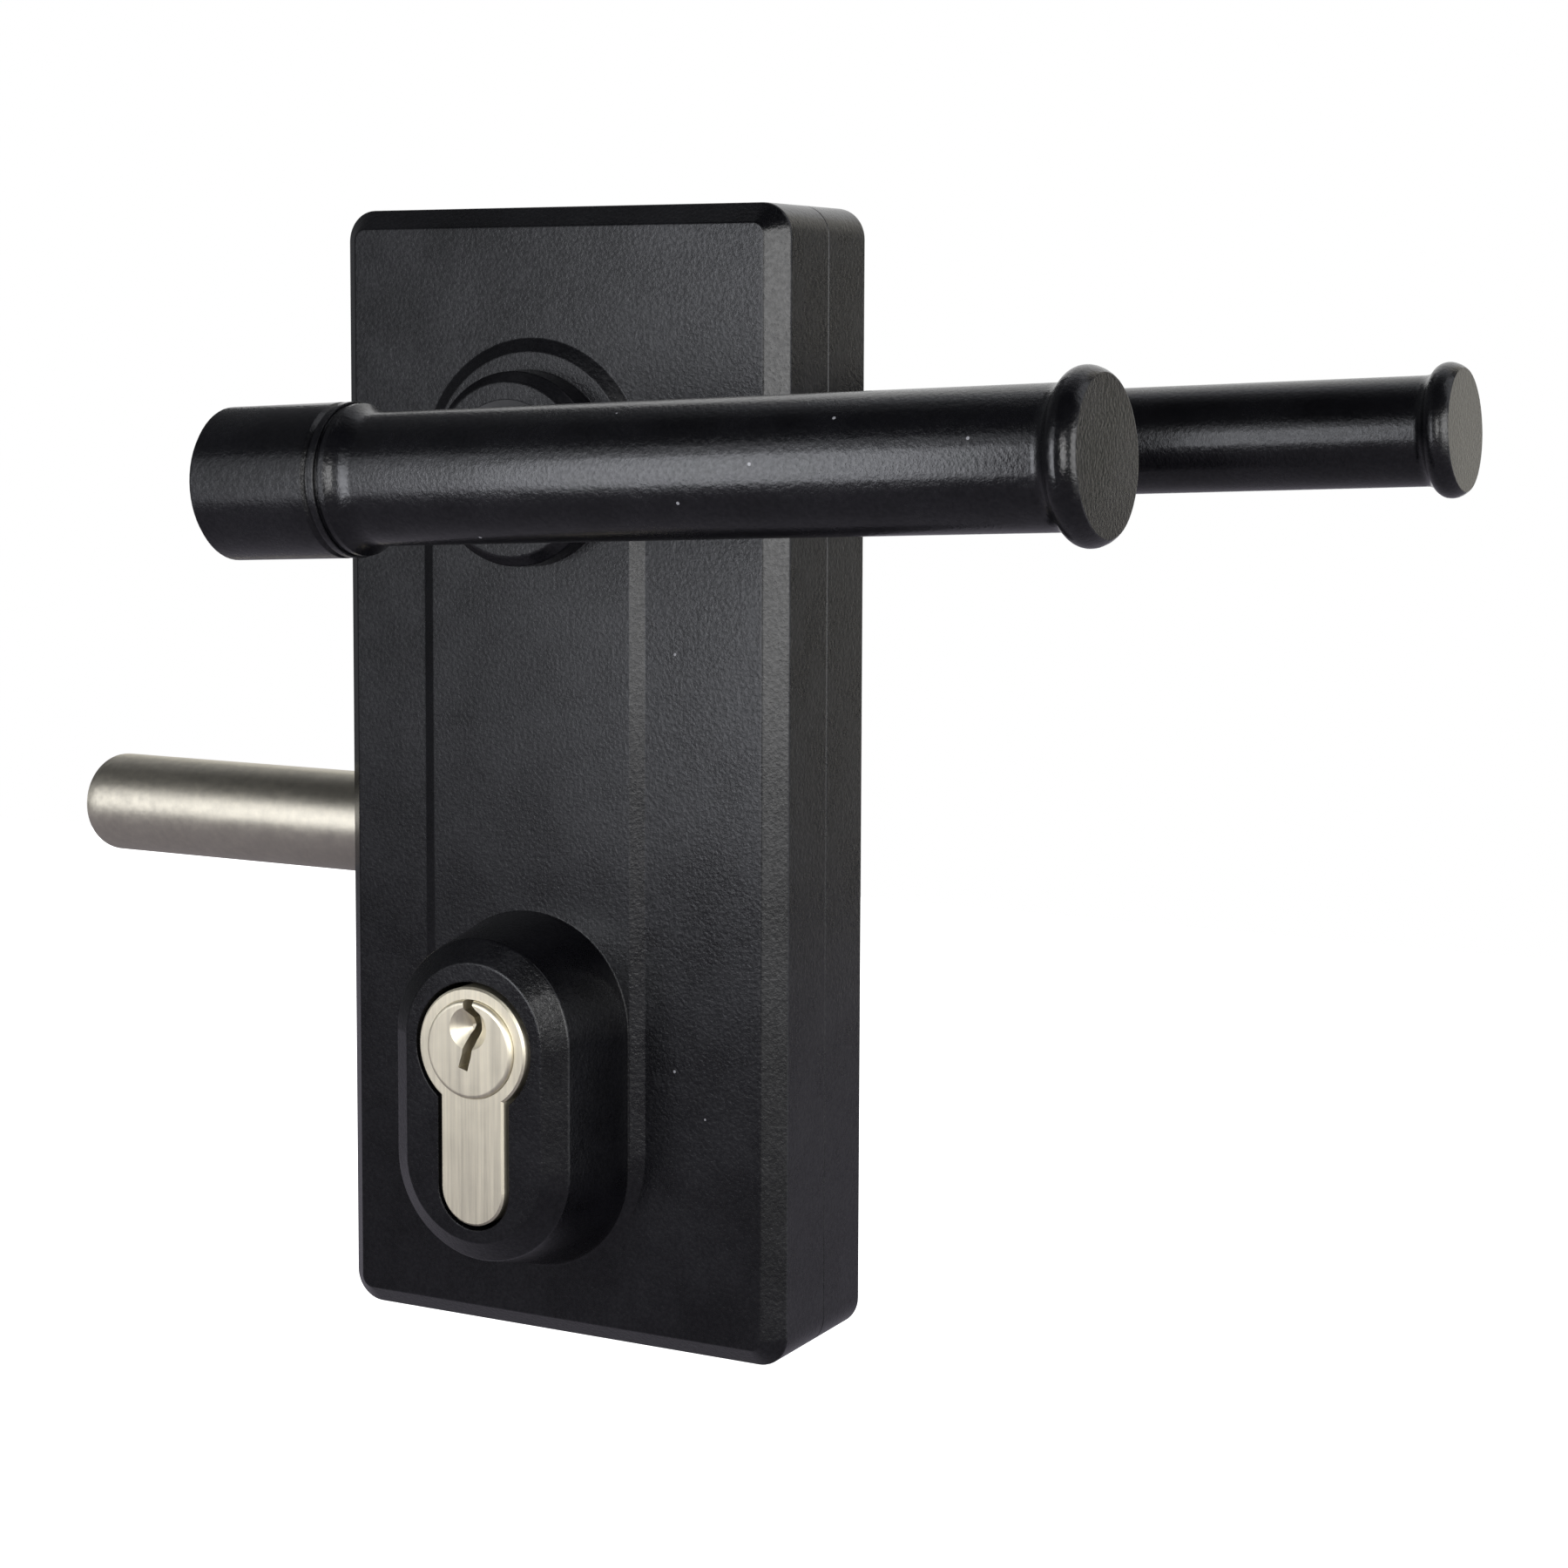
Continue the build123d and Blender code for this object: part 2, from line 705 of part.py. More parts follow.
def spring_guide():
    end = case_width - case_wall - seat_gap
    start = spring_seat_x - spring_guide_length
    return rod_x(-bolt_spring_offset, bolt_z, spring_guide_radius, start, end)


def handle_spring():
    """Torsion spring coiled round the follower."""
    height = handle_spring_turns * handle_spring_pitch
    path = Helix(handle_spring_pitch, height, handle_spring_radius)
    wire = Plane(origin=path @ 0, z_dir=path % 0) * Circle(handle_spring_wire / 2)
    coil = sweep(wire, path=path, is_frenet=True)
    start = -inner_face + journal_length + handle_spring_wire / 2 + 2 * running_gap
    return Pos(axis_inset, start, spindle_z) * Rot(-90, 0, 0) * coil


def cylinder_body():
    """Brass body with a plug bore at each end and a gap for the cam between them."""
    half = cylinder_length / 2
    body = plate(Pos(axis_inset, cylinder_z) * cylinder_profile(0), -half, half)
    body = chamfer(body.faces().filter_by(Axis.Y).edges(), cylinder_bevel)
    bore = plug_radius + running_gap
    body -= rod_y(axis_inset, cylinder_z, bore, -half - past, half + past)
    gap_low = cylinder_z - cam_reach - loose_gap
    body -= block(0, case_width, -cam_slot / 2, cam_slot / 2, gap_low, cylinder_z + cylinder_height)
    body -= rod_x(0, cylinder_screw_z, cylinder_screw_radius + seat_gap, 0, case_width)
    chamber_low = leg_end_z + chamber_from_leg_end
    for side in (-1, 1):
        for y in pin_places(side):
            chamber = Pos(axis_inset, y, (chamber_low + cylinder_z) / 2)
            body -= chamber * Cylinder(pin_radius + running_gap, cylinder_z - chamber_low)
    return body


def pin_places(side):
    half = cylinder_length / 2
    return [side * (half - first_pin - i * pin_pitch) for i in range(pin_count)]


def keyway():
    """Section of the bent key slot, from its open top to the pins' side."""
    top = (keyway_top_offset, plug_radius + past)
    bottom = (keyway_bottom_offset, -keyway_bottom)
    return trace(Polyline(top, *keyway_bends, bottom), keyway_width)


def front_plug():
    """The turning plug: keyway and key guide in its face, a nose that enters the cam."""
    face = -cylinder_length / 2 - plug_proud
    inner = -cam_width / 2 - clip_thickness - 2 * running_gap
    plug = rod_y(axis_inset, cylinder_z, plug_radius, face, inner)
    plug = fillet(plug.edges().filter_by(GeomType.CIRCLE).sort_by(Axis.Y)[0], plug_bevel)
    plug += rod_y(axis_inset, cylinder_z, plug_nose_radius, inner - past, -running_gap)
    slot = Pos(axis_inset, cylinder_z) * keyway()
    plug -= plate(slot, face - past, face + keyway_depth)
    guide = Cone(key_guide_inner_radius, key_guide_radius, key_guide_depth)
    guide_y = face + key_guide_depth / 2
    plug -= Pos(axis_inset, guide_y, cylinder_z + key_guide_lift) * Rot(90, 0, 0) * guide
    hole_length = plug_radius - keyway_bottom + 2 * past
    for y in pin_places(-1):
        hole = Pos(axis_inset, y, cylinder_z - (plug_radius + keyway_bottom) / 2)
        plug -= hole * Cylinder(pin_radius + running_gap, hole_length)
    return plug


def key_pins(side):
    """Pins that ride in the plug, cut to its outer surface."""
    low = cylinder_z - plug_radius + pin_end_gap
    pins = []
    for y, length in zip(pin_places(side), key_pin_lengths):
        pin = Pos(axis_inset, y, low + length / 2) * Cylinder(pin_radius, length)
        pins.append(pin)
    return pins


def driver_pins():
    """Pins in the body, under the plugs."""
    middle = cylinder_z - plug_radius - pin_end_gap - driver_pin_length / 2
    places = pin_places(-1) + pin_places(1)
    return [Pos(axis_inset, y, middle) * Cylinder(pin_radius, driver_pin_length) for y in places]


def plug_clips():
    """Open rings that keep each plug in its bore."""
    clips = []
    start = cam_width / 2 + running_gap
    for side in (-1, 1):
        y0, y1 = sorted((side * start, side * (start + clip_thickness)))
        ring = rod_y(axis_inset, cylinder_z, clip_radius, y0, y1)
        ring -= rod_y(axis_inset, cylinder_z, plug_nose_radius + seat_gap, y0 - past, y1 + past)
        mouth = Pos(axis_inset, (y0 + y1) / 2, cylinder_z + clip_radius / 2)
        mouth *= Box(clip_mouth, 2 * clip_thickness, clip_radius)
        clips.append(ring - mouth)
    return clips


def cylinder_cam():
    tooth = Pos(cam_arm / 2, 0) * Rectangle(cam_arm, 2 * cam_nose)
    tooth += Pos(cam_arm, 0) * Circle(cam_nose)
    outline = Circle(cam_radius) + tooth - Circle(plug_nose_radius + running_gap)
    outline = Pos(axis_inset, cylinder_z) * Rot(0, 0, cam_rest_angle) * outline
    return plate(outline, -cam_width / 2, cam_width / 2)


def cylinder_screw():
    """Long countersunk screw from the stile face into the cylinder's leg."""
    end = axis_inset + cylinder_screw_past
    reach = cylinder_screw_head - cylinder_screw_radius
    cone = Cone(cylinder_screw_head, cylinder_screw_radius, reach)
    screw = Pos(reach / 2, 0, cylinder_screw_z) * Rot(0, 90, 0) * cone
    screw += rod_x(0, cylinder_screw_z, cylinder_screw_radius, 0, end)
    slot = Box(2 * screw_slot, 2 * cylinder_screw_head, screw_slot)
    return screw - Pos(0, 0, cylinder_screw_z) * slot


def deadlock_slide():
    """C-shaped plate: the cam works in its mouth, its upper corner stops the bolt."""
    half = slide_plate / 2
    mouth_top = notch_centre + notch_half
    mouth_low = notch_centre - notch_half
    spine_end = spine_x + slide_spine
    body = block(spine_x, spine_end, -half, half, mouth_low - slide_lower_arm, slide_top)
    body += block(slide_arm_x, spine_end, -half, half, mouth_top, slide_arm_top)
    body += block(slide_arm_x, spine_end, -half, half, mouth_low - slide_lower_arm, mouth_low)
    return body


nodes = {
    "front_case": front_case(),
    "rear_case": rear_case(),
    "case_screws": case_screws(),
    "fixing_nuts": fixing_nuts(),
    "bolt_sleeve": bolt_sleeve(),
    "front_neck_bush": neck_bush(),
    "rear_neck_bush": mirror(neck_bush(), about=Plane.XZ),
    "spindle": spindle(),
    "follower": follower(),
    "front_lever": front_lever(),
    "rear_lever": mirror(front_lever(), about=Plane.XZ),
    "lever_grub_screws": grub_screws(),
    "rocker": rocker(),
    "rocker_pin": rocker_pin(),
    "drive_pin": drive_pin(),
    "latch_bolt": latch_bolt(),
    "bolt_carriage": bolt_carriage(),
    "carriage_pin": carriage_pin(),
    "bolt_spring": bolt_spring(),
    "spring_guide": spring_guide(),
    "handle_spring": handle_spring(),
    "cylinder_body": cylinder_body(),
    "front_plug": front_plug(),
    "rear_plug": mirror(front_plug(), about=Plane.XZ),
    "front_key_pins": key_pins(-1),
    "rear_key_pins": key_pins(1),
    "driver_pins": driver_pins(),
    "plug_clips": plug_clips(),
    "cylinder_cam": cylinder_cam(),
    "cylinder_screw": cylinder_screw(),
    "deadlock_slide": deadlock_slide(),
}

os.makedirs("parts", exist_ok=True)
for name, shape in nodes.items():
    solids = shape if isinstance(shape, list) else [shape]
    pieces = [solid for part in solids for solid in part.solids()]
    whole = pieces[0] if len(pieces) == 1 else Compound(children=pieces)
    export_step(whole, f"parts/{name}.step")
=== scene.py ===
import json
from math import cos, pi, radians, sin

import bpy
from mathutils import Matrix, Vector

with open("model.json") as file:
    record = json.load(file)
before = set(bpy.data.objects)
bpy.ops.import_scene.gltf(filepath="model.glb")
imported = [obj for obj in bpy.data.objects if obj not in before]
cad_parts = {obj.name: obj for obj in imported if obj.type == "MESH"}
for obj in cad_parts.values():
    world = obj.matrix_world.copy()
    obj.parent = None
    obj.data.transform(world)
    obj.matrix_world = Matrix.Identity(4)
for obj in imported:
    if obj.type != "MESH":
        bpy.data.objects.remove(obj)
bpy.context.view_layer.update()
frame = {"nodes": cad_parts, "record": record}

# Camera, in metres and degrees, and in pixels of the 1800 x 1800 photograph
PHOTO_SIZE = 1800
CAMERA_PLACE = Vector((0.26748, -0.39141, 0.05933))
CAMERA_YAW = 28.43
CAMERA_PITCH = -5.25
CAMERA_ROLL = 0.136
CAMERA_NEAREST = 0.01
FOCAL_PIXELS = 3694.7
CENTRE_PIXEL = (836.78, 742.43)
SENSOR = 36.0

# Studio, in metres. A glow is a brightness as a mirror would show it.
FLOOR_Z = -0.30
BACKDROP_Y = 1.5
STAGE_SIZE = 8.0
STAGE_GLOW = 1.0
FLOOR_SHARE = 0.8
FLOOR_NEAR_GLOW = 0.03
FLOOR_NEAR = 0.35
FLOOR_FAR = 0.90
FRONT_Y = -0.265

# Tent round the lock: where its cloths stand, and how much each glows
TENT_X = (-1.10, 0.65)
TENT_Y = (-1.60, 1.30)
TENT_Z = (-0.27, 1.86)
TENT_DIM = 0.04
TENT_LEFT = 0.10
TENT_RIGHT = 1.15
TENT_RIGHT_Y = (-0.08, 0.62)
TENT_TOP_BACK = 0.18
TENT_TOP_FAR = 0.62
TENT_TOP_FAR_Y = 0.60
TENT_BELOW = 0.26
TENT_BACK = 0.76
TENT_BACK_X = 0.22
COOL = (0.96, 0.98, 1.04)
PURPLE = (1.0, 0.95, 1.10)
WARM = (0.97, 0.935, 0.845)

# Texture scales, in waves or cells per metre
PEBBLES = 1900.0
COAT_FINE = 5200.0
COAT_CLOUDS = 95.0
SPECK_CELLS = 420.0
SCUFF_CELLS = 150.0
METAL_FINE = 5200.0
METAL_CLOUDS = 180.0
POLYMER_MOTTLE = 700.0

# Noise: what lies between a pair of ends is spread over the colours or roughness asked for
NOISE_ENDS = (0.3, 0.7)
CLOUD_ENDS = (0.36, 0.64)
PEBBLE_ENDS = (0.34, 0.66)
BRUSH_ENDS = (0.35, 0.65)
FINE_DETAIL = 2.0
LINE_DETAIL = 3.0
CLOUD_DETAIL = 4.0
LINE_BREAKS = 0.6
CLOUD_BREAKS = 0.65

# Shares of colour and shine, steps of roughness either way, and shares of the bump's height
COAT_SHADES = (0.75, 1.35)
COAT_SHINE = (0.40, 0.60)
CLOUD_SHINE = (0.90, 1.10)
CLOUD_ROUGHNESS = 0.03
FINE_ROUGHNESS = 0.02
LINE_ROUGHNESS = 0.04
PEBBLE_SHARE = 0.7
LINE_SHARE = 0.65
FINE_HEIGHT = 0.35
EDGE_ROUNDING = 0.00030
EDGE_SAMPLES = 4
LACQUER = {"IOR": 1.4, "Coat_Weight": 0.25, "Coat_IOR": 1.4, "Coat_Roughness": 0.14}

# Specks and scuffs. Radii are shares of a cell.
SPECK_RADIUS = 0.085
SPECK_COLOUR = (0.12, 0.12, 0.13)
SCUFF_RING = (0.062, 0.084)
SCUFF_SIDE = (0.8, 0.0, 0.6)
SCUFF_COLOUR = (0.22, 0.22, 0.24)

POLYMER_COLOURS = ((0.008, 0.008, 0.009), (0.016, 0.016, 0.017))
POLYMER_ROUGHNESS = (0.42, 0.58)
POLYMER_GRAIN = 0.00001
POLYMER_IOR = 1.48


def look_matrix(yaw, pitch, roll):
    """Camera axes for a view along +Y turned by yaw to the left, tipped by pitch and rolled."""
    y, p, r = radians(yaw), radians(pitch), radians(roll)
    forward = Vector((-sin(y) * cos(p), cos(y) * cos(p), sin(p)))
    right = Vector((cos(y), sin(y), 0.0))
    up = right.cross(forward)
    rolled_right = cos(r) * right + sin(r) * up
    rolled_up = cos(r) * up - sin(r) * right
    return Matrix((rolled_right, rolled_up, -forward)).transposed()


def add_camera():
    data = bpy.data.cameras.new("camera")
    data.sensor_width = SENSOR
    data.lens = FOCAL_PIXELS / PHOTO_SIZE * SENSOR
    data.shift_x = (PHOTO_SIZE / 2 - CENTRE_PIXEL[0]) / PHOTO_SIZE
    data.shift_y = (CENTRE_PIXEL[1] - PHOTO_SIZE / 2) / PHOTO_SIZE
    data.clip_start = CAMERA_NEAREST
    camera = bpy.data.objects.new("camera", data)
    camera.matrix_world = Matrix.Translation(CAMERA_PLACE) @ look_matrix(
        CAMERA_YAW, CAMERA_PITCH, CAMERA_ROLL
    ).to_4x4()
    bpy.context.scene.collection.objects.link(camera)
    bpy.context.scene.camera = camera


def add_softbox(name, centre, aim, size, glow, colour=(1, 1, 1)):
    """An upright soft light with its middle at centre, which faces the point aim."""
    data = bpy.data.lights.new(name, "AREA")
    data.shape = "RECTANGLE"
    data.size, data.size_y = size
    data.energy = glow * pi * data.size * data.size_y
    data.color = colour
    softbox = bpy.data.objects.new(name, data)
    softbox.rotation_mode = "QUATERNION"
    softbox.rotation_quaternion = (Vector(centre) - Vector(aim)).to_track_quat("Z", "Y")
    softbox.location = centre
    softbox.visible_camera = False
    bpy.context.scene.collection.objects.link(softbox)


class Shader:
    """A node tree that is filled line by line, from left to right."""

    def __init__(self, tree):
        self.tree = tree
        self.tree.nodes.clear()

    def node(self, kind, **settings):
        made = self.tree.nodes.new(kind)
        for key, value in settings.items():
            setattr(made, key, value)
        return made

    def link(self, source, target):
        self.tree.links.new(source, target)

    def put(self, target, value):
        """Links a socket or sets a constant."""
        if isinstance(value, bpy.types.NodeSocket):
            self.link(value, target)
        else:
            target.default_value = value

    def math(self, operation, a, b):
        made = self.node("ShaderNodeMath", operation=operation)
        self.put(made.inputs[0], a)
        self.put(made.inputs[1], b)
        return made.outputs[0]

    def vector(self, operation, *values):
        """Outputs of a vector operation. Each value is a socket or three constants."""
        made = self.node("ShaderNodeVectorMath", operation=operation)
        for target, value in zip(made.inputs, values):
            self.put(target, value)
        return made.outputs

    def place(self, scale=(1, 1, 1)):
        """Object coordinates in metres, stretched by scale."""
        coordinates = self.node("ShaderNodeTexCoord")
        mapping = self.node("ShaderNodeMapping")
        mapping.inputs["Scale"].default_value = scale
        self.link(coordinates.outputs["Object"], mapping.inputs["Vector"])
        return mapping.outputs["Vector"]

    def noise(self, vector, scale, detail, roughness=0.5):
        made = self.node("ShaderNodeTexNoise")
        self.link(vector, made.inputs["Vector"])
        made.inputs["Scale"].default_value = scale
        made.inputs["Detail"].default_value = detail
        made.inputs["Roughness"].default_value = roughness
        return made.outputs["Fac"]

    def cells(self, vector, scale):
        """Distance to the nearest cell's point, that point, and a colour of the cell's own."""
        made = self.node("ShaderNodeTexVoronoi")
        self.link(vector, made.inputs["Vector"])
        made.inputs["Scale"].default_value = scale
        return made.outputs

    def some(self, field, channel, share):
        """1 in a share of the cells of a field and 0 in the rest."""
        chosen = self.node("ShaderNodeSeparateColor")
        self.link(field["Color"], chosen.inputs["Color"])
        return self.math("GREATER_THAN", chosen.outputs[channel], 1.0 - share)

    def span(self, value, ends, results):
        """Spreads what lies between the ends over the results, and holds the rest there."""
        made = self.node("ShaderNodeMapRange")
        self.put(made.inputs["Value"], value)
        made.inputs["From Min"].default_value, made.inputs["From Max"].default_value = ends
        made.inputs["To Min"].default_value, made.inputs["To Max"].default_value = results
        return made.outputs["Result"]

    def blend(self, factor, a, b):
        """A mix of two colours. The node's colour sockets share their names with others."""
        made = self.node("ShaderNodeMix", data_type="RGBA")
        first, second, result = made.inputs[6], made.inputs[7], made.outputs[2]
        self.put(made.inputs["Factor"], factor)
        self.put(first, a)
        self.put(second, b)
        return result

    def bump(self, height, distance, normal=None):
        made = self.node("ShaderNodeBump")
        made.inputs["Distance"].default_value = distance
        self.link(height, made.inputs["Height"])
        if normal is not None:
            self.link(normal, made.inputs["Normal"])
        return made.outputs["Normal"]


def rgba(colour):
    return (*colour, 1.0)


def shade_of(colour, factor):
    return rgba([min(1.0, factor * c) for c in colour])


def around(middle, reach):
    return (middle - reach, middle + reach)


def new_material(name):
    material = bpy.data.materials.new(name)
    material.use_nodes = True
    return material, Shader(material.node_tree)


def finish_material(s, **values):
    """Principled shader with constants or links on its own sockets."""
    shader = s.node("ShaderNodeBsdfPrincipled")
    for key, value in values.items():
        s.put(shader.inputs[key.replace("_", " ")], value)
    output = s.node("ShaderNodeOutputMaterial")
    s.link(shader.outputs["BSDF"], output.inputs["Surface"])


def black_coat(name, colour, roughness, grain, specks, marks=0.0):
    """Satin powder coat: a pebbled skin, a finer grain, faint clouds, stray specks and,
    where hands and keys reach, small crescent-shaped scuffs."""
    material, s = new_material(name)
    here = s.place()
    pebbles = s.noise(here, PEBBLES, FINE_DETAIL)
    fine = s.noise(here, COAT_FINE, FINE_DETAIL)
    clouds = s.noise(here, COAT_CLOUDS, CLOUD_DETAIL, CLOUD_BREAKS)
    dots = s.cells(here, SPECK_CELLS)
    rare = s.some(dots, "Red", specks)
    near = s.math("LESS_THAN", dots["Distance"], SPECK_RADIUS)
    speck = s.math("MULTIPLY", rare, near)
    clouded = s.span(clouds, CLOUD_ENDS, (0.0, 1.0))
    dark, light = COAT_SHADES
    base = s.blend(clouded, shade_of(colour, dark), shade_of(colour, light))
    base = s.blend(speck, base, rgba(SPECK_COLOUR))
    if marks:
        base = s.blend(scuffs(s, here, marks), base, rgba(SCUFF_COLOUR))
    rough = s.math(
        "ADD",
        s.span(clouds, CLOUD_ENDS, around(roughness, CLOUD_ROUGHNESS)),
        s.span(fine, NOISE_ENDS, around(0.0, FINE_ROUGHNESS)),
    )
    shine = s.math(
        "MULTIPLY",
        s.span(clouds, CLOUD_ENDS, CLOUD_SHINE),
        s.span(pebbles, PEBBLE_ENDS, COAT_SHINE),
    )
    height = s.math(
        "ADD",
        s.math("MULTIPLY", pebbles, PEBBLE_SHARE),
        s.math("MULTIPLY", fine, 1.0 - PEBBLE_SHARE),
    )
    edge = s.node("ShaderNodeBevel", samples=EDGE_SAMPLES)
    edge.inputs["Radius"].default_value = EDGE_ROUNDING
    normal = s.bump(height, grain, normal=edge.outputs["Normal"])
    finish_material(
        s, Base_Color=base, Roughness=rough, Specular_IOR_Level=shine, Normal=normal, **LACQUER
    )
    return material


def scuffs(s, here, share):
    """Thin half rings about a millimetre across, one in a share of a coarse pattern's cells."""
    field = s.cells(here, SCUFF_CELLS)
    rare = s.some(field, "Green", share)
    inner, outer = SCUFF_RING
    outside = s.math("GREATER_THAN", field["Distance"], inner)
    inside = s.math("LESS_THAN", field["Distance"], outer)
    ring = s.math("MULTIPLY", outside, inside)
    scaled = s.vector("MULTIPLY", here, (SCUFF_CELLS, SCUFF_CELLS, SCUFF_CELLS))["Vector"]
    offset = s.vector("SUBTRACT", scaled, field["Position"])["Vector"]
    along = s.vector("DOT_PRODUCT", offset, SCUFF_SIDE)["Value"]
    open_side = s.math("LESS_THAN", along, 0.0)
    return s.math("MULTIPLY", s.math("MULTIPLY", ring, open_side), rare)


def brushed_metal(name, colour, roughness, stretch, depth, contrast=0.12, spread=0.0, turn=0.0,
                  axis="Z"):
    """Metal with fine lines along one axis: stretch is the texture's scale along X, Y and Z.
    Spread widens the highlight round an axis, or along it after a quarter turn."""
    material, s = new_material(name)
    lines = s.noise(s.place(stretch), 1.0, LINE_DETAIL, LINE_BREAKS)
    here = s.place()
    clouds = s.noise(here, METAL_CLOUDS, LINE_DETAIL)
    fine = s.noise(here, METAL_FINE, FINE_DETAIL)
    shade = s.math(
        "ADD",
        s.math("MULTIPLY", lines, LINE_SHARE),
        s.math("MULTIPLY", clouds, 1.0 - LINE_SHARE),
    )
    mixed = s.span(shade, BRUSH_ENDS, (0.0, 1.0))
    base = s.blend(mixed, shade_of(colour, 1.0 - contrast), shade_of(colour, 1.0 + contrast))
    rough = s.math(
        "ADD",
        s.span(lines, NOISE_ENDS, around(roughness, LINE_ROUGHNESS)),
        s.span(fine, NOISE_ENDS, around(0.0, FINE_ROUGHNESS)),
    )
    height = s.math("ADD", lines, s.math("MULTIPLY", fine, FINE_HEIGHT))
    values = {}
    if spread:
        tangent = s.node("ShaderNodeTangent", direction_type="RADIAL", axis=axis)
        values = {
            "Anisotropic": spread,
            "Anisotropic_Rotation": turn,
            "Tangent": tangent.outputs["Tangent"],
        }
    normal = s.bump(height, depth)
    finish_material(s, Base_Color=base, Metallic=1.0, Roughness=rough, Normal=normal, **values)
    return material


def black_polymer(name):
    """Moulded acetal: matt, with a soft mottle."""
    material, s = new_material(name)
    mottle = s.noise(s.place(), POLYMER_MOTTLE, CLOUD_DETAIL)
    dark, light = POLYMER_COLOURS
    base = s.blend(mottle, rgba(dark), rgba(light))
    rough = s.span(mottle, NOISE_ENDS, POLYMER_ROUGHNESS)
    normal = s.bump(mottle, POLYMER_GRAIN)
    finish_material(s, Base_Color=base, Roughness=rough, Normal=normal, IOR=POLYMER_IOR)
    return material


def slot_materials():
    """A material for each slot: colour, roughness, then the bump's depth in metres."""
    coats = {
        "black_coat": dict(
            colour=(0.0009, 0.0009, 0.0015), roughness=0.29, grain=0.000075,
            specks=0.012, marks=0.010,
        ),
        "black_lever": dict(
            colour=(0.0008, 0.0008, 0.0013), roughness=0.24, grain=0.000065,
            specks=0.040, marks=0.060,
        ),
        "black_steel": dict(
            colour=(0.012, 0.012, 0.012), roughness=0.36, grain=0.000012, specks=0.0,
        ),
    }
    metals = {
        "stainless": dict(
            colour=(0.66, 0.620, 0.525), roughness=0.47, stretch=(900, 900, 900),
            depth=0.000012, contrast=0.08, spread=0.80, turn=0.25, axis="X",
        ),
        "zinc_steel": dict(
            colour=(0.52, 0.53, 0.55), roughness=0.36, stretch=(400, 400, 400), depth=0.000012,
        ),
        "spring_steel": dict(
            colour=(0.36, 0.36, 0.38), roughness=0.32, stretch=(900, 900, 200), depth=0.000008,
        ),
        "nickel": dict(
            colour=(0.80, 0.745, 0.60), roughness=0.52, stretch=(2200, 2200, 45),
            depth=0.000014, contrast=0.12, spread=0.5,
        ),
        "nickel_plug": dict(
            colour=(0.77, 0.715, 0.575), roughness=0.50, stretch=(1500, 1500, 40),
            depth=0.000014, contrast=0.13, spread=0.5,
        ),
        "brass": dict(
            colour=(0.66, 0.50, 0.24), roughness=0.30, stretch=(500, 500, 1500), depth=0.000008,
        ),
    }
    materials = {name: black_coat(name, **values) for name, values in coats.items()}
    materials.update({name: brushed_metal(name, **values) for name, values in metals.items()})
    materials["bush_polymer"] = black_polymer("bush_polymer")
    return materials


def dress_cad_nodes():
    materials = slot_materials()
    for part in frame["record"]["subparts"]:
        node = frame["nodes"][part["node"]]
        node.data.materials.clear()
        node.data.materials.append(materials[part["material_slot"]])


def glowing_surface(name, glow, colour=(1, 1, 1), lit_share=0.0, near_glow=None):
    """A glowing cloth. Where it has a near glow, it glows less near the lock, and its lit
    share shows the light and the shadows that fall there."""
    material, s = new_material(name)
    material.cycles.emission_sampling = "NONE"
    even = s.node("ShaderNodeEmission")
    even.inputs["Color"].default_value = rgba(colour)
    if near_glow is None:
        even.inputs["Strength"].default_value = glow
    else:
        reach = s.vector("LENGTH", s.place())["Value"]
        strength = s.span(reach, (FLOOR_NEAR, FLOOR_FAR), (near_glow, glow))
        s.link(strength, even.inputs["Strength"])
    lit = s.node("ShaderNodeBsdfDiffuse")
    lit.inputs["Color"].default_value = rgba([lit_share] * 3)
    both = s.node("ShaderNodeAddShader")
    s.link(even.outputs["Emission"], both.inputs[0])
    s.link(lit.outputs["BSDF"], both.inputs[1])
    output = s.node("ShaderNodeOutputMaterial")
    s.link(both.outputs["Shader"], output.inputs["Surface"])
    return material


def add_plane(name, corners, material):
    mesh = bpy.data.meshes.new(name)
    mesh.from_pydata(corners, [], [(0, 1, 2, 3)])
    mesh.materials.append(material)
    plane = bpy.data.objects.new(name, mesh)
    bpy.context.scene.collection.objects.link(plane)
    return plane


def add_stage():
    """White floor and backdrop. The floor's lit share lets the lock's shadow show."""
    half = STAGE_SIZE / 2
    floor = [
        (-half, -half, FLOOR_Z),
        (half, -half, FLOOR_Z),
        (half, BACKDROP_Y, FLOOR_Z),
        (-half, BACKDROP_Y, FLOOR_Z),
    ]
    back = [
        (-half, BACKDROP_Y, FLOOR_Z),
        (half, BACKDROP_Y, FLOOR_Z),
        (half, BACKDROP_Y, half),
        (-half, BACKDROP_Y, half),
    ]
    white = glowing_surface(
        "studio_floor", STAGE_GLOW, lit_share=FLOOR_SHARE, near_glow=FLOOR_NEAR_GLOW
    )
    add_plane("studio_floor", floor, white)
    add_plane("studio_backdrop", back, glowing_surface("studio_backdrop", STAGE_GLOW))


